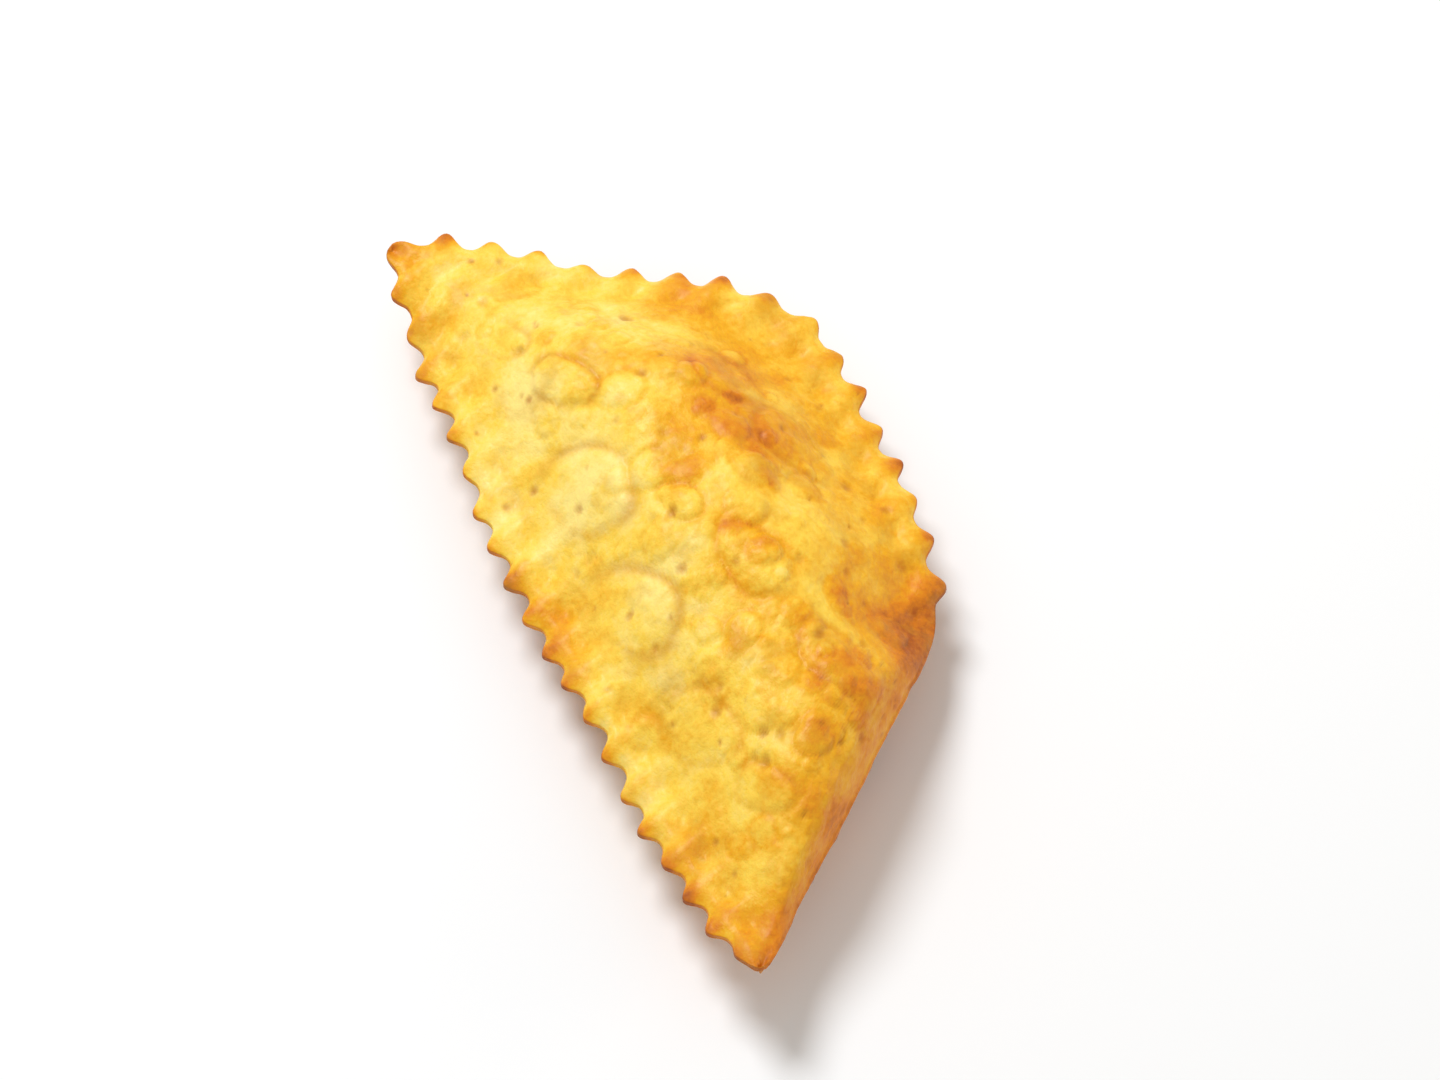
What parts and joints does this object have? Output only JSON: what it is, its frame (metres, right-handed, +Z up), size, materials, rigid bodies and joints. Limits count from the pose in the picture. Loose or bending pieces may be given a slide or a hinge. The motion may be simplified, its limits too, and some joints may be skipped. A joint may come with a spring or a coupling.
{
  "type": "fried cheese pastry",
  "caption": "Puffed, golden fried cheese turnover, four-cornered, with fluted wheel-cut seams on three sides, one smooth folded side and a blistered crust.",
  "frame": {"origin": "middle of the bounding box, at the height the piece rests on", "axes": "+X along the long fluted edge to the sharp tip, +Y across to the back edge and the fold, +Z up"},
  "size_m": [0.091, 0.042, 0.0176],
  "materials": {
    "crust": "golden fried dough, slightly oily, browned at the tooth points, the tip and the blisters"
  },
  "bodies": {
    "root": {"pastry": "crust"}
  },
  "joints": []
}
